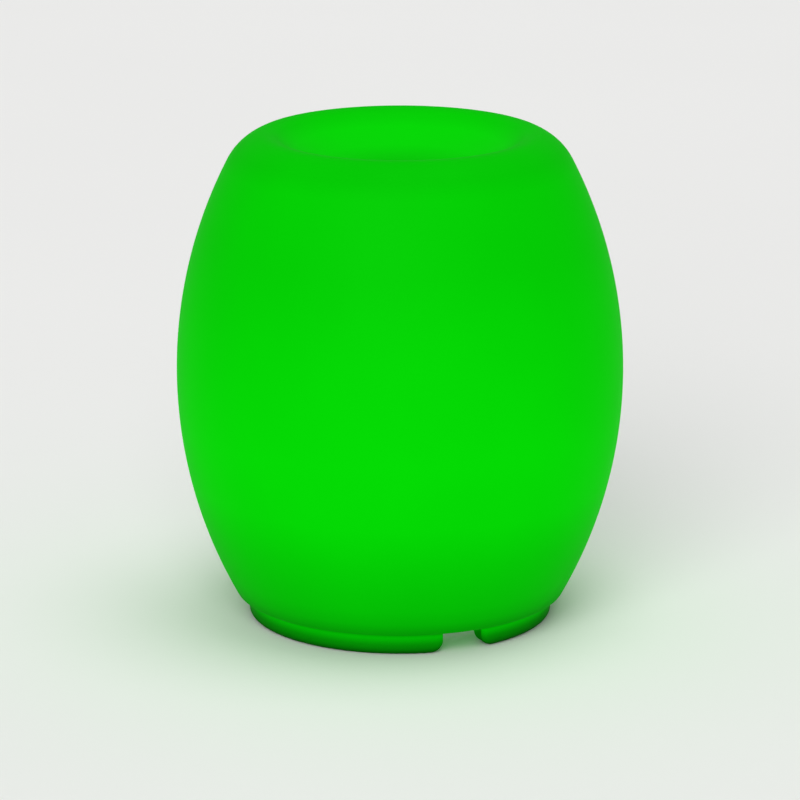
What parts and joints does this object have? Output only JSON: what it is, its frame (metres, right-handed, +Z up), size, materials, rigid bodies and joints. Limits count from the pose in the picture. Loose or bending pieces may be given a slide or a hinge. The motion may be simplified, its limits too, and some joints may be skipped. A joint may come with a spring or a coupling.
{
  "type": "led barrel stool",
  "caption": "Barrel-shaped glowing stool: hollow moulded shell with a dished seat and a gapped foot ring, lit from a sealed light unit underneath.",
  "frame": {"origin": "on the floor at the stool's vertical axis, in the plane of the foot ring's lowest face", "axes": "+Z up along the axis; the gap in the foot ring is on the -Y side; the button is at -X and the charging socket at +X of it"},
  "size_m": [0.388, 0.388, 0.43],
  "materials": {
    "shell_plastic": "satin moulded plastic, glowing green all over",
    "insert_brass": "machined",
    "screw_steel": "stainless, plain",
    "gasket_rubber": "matt",
    "housing_plastic": "moulded, fine texture",
    "plate_aluminium": "brushed",
    "diffuser_plastic": "milky, satin",
    "light_board": "white solder mask",
    "led_plastic": "moulded",
    "receiver_plastic": "smooth",
    "foam_pad": "foam",
    "cell_steel": "nickel plated",
    "sleeve_plastic": "shrink film",
    "bracket_steel": "zinc plated",
    "circuit_board": "green solder mask",
    "chip_plastic": "moulded",
    "capacitor_aluminium": "drawn",
    "connector_nylon": "moulded",
    "switch_plastic": "moulded",
    "button_cap_plastic": "satin",
    "spring_steel": "drawn wire",
    "nut_plastic": "moulded",
    "terminal_brass": "tinned edge",
    "cover_rubber": "satin",
    "lead_grey": "smooth insulation",
    "lead_black": "smooth insulation",
    "lead_red": "smooth insulation",
    "lead_white": "smooth insulation"
  },
  "bodies": {
    "stool": {"shell": "shell_plastic", "base_inserts": "insert_brass", "base_screws": "screw_steel", "base_gasket": "gasket_rubber", "light_housing": "housing_plastic", "led_plate": "plate_aluminium", "diffuser_gasket": "gasket_rubber", "diffuser_dome": "diffuser_plastic", "diffuser_screws": "screw_steel", "led_board": "light_board", "led_packages": "led_plastic", "led_board_screws": "screw_steel", "remote_receiver": "receiver_plastic", "battery_pad": "foam_pad", "battery_cells": "cell_steel", "battery_sleeve": "sleeve_plastic", "battery_bracket": "bracket_steel", "bracket_screws": "screw_steel", "control_board": "circuit_board", "control_chips": "chip_plastic", "control_capacitors": "capacitor_aluminium", "control_connectors": "connector_nylon", "control_board_screws": "screw_steel", "button_body": "switch_plastic", "button_spring": "spring_steel", "button_seal": "gasket_rubber", "button_nut": "nut_plastic", "button_terminals": "terminal_brass", "socket_body": "switch_plastic", "socket_pin": "terminal_brass", "cover_hinge_pin": "spring_steel", "socket_seal": "gasket_rubber", "socket_nut": "nut_plastic", "socket_terminals": "terminal_brass", "button_leads": "lead_grey", "socket_leads": "lead_grey", "battery_lead_black": "lead_black", "battery_lead_red": "lead_red", "led_leads": "lead_white"},
    "button": {"button_cap": "button_cap_plastic"},
    "splash_cover": {"socket_cover": "cover_rubber"}
  },
  "joints": [
    {"name": "button_press", "type": "slide", "parent": "stool", "child": "button", "axis": [0, 0, 1], "range_m": [0, 0.002], "stiffness_N_per_m": 500, "springref_m": -0.002, "deforming": ["button_spring"]},
    {"name": "splash_cover_hinge", "type": "hinge", "parent": "stool", "child": "splash_cover", "pos_m": [0.024, -0.0185, 0.0526], "axis": [1, 0, 0], "range_deg": [0, 110]}
  ]
}
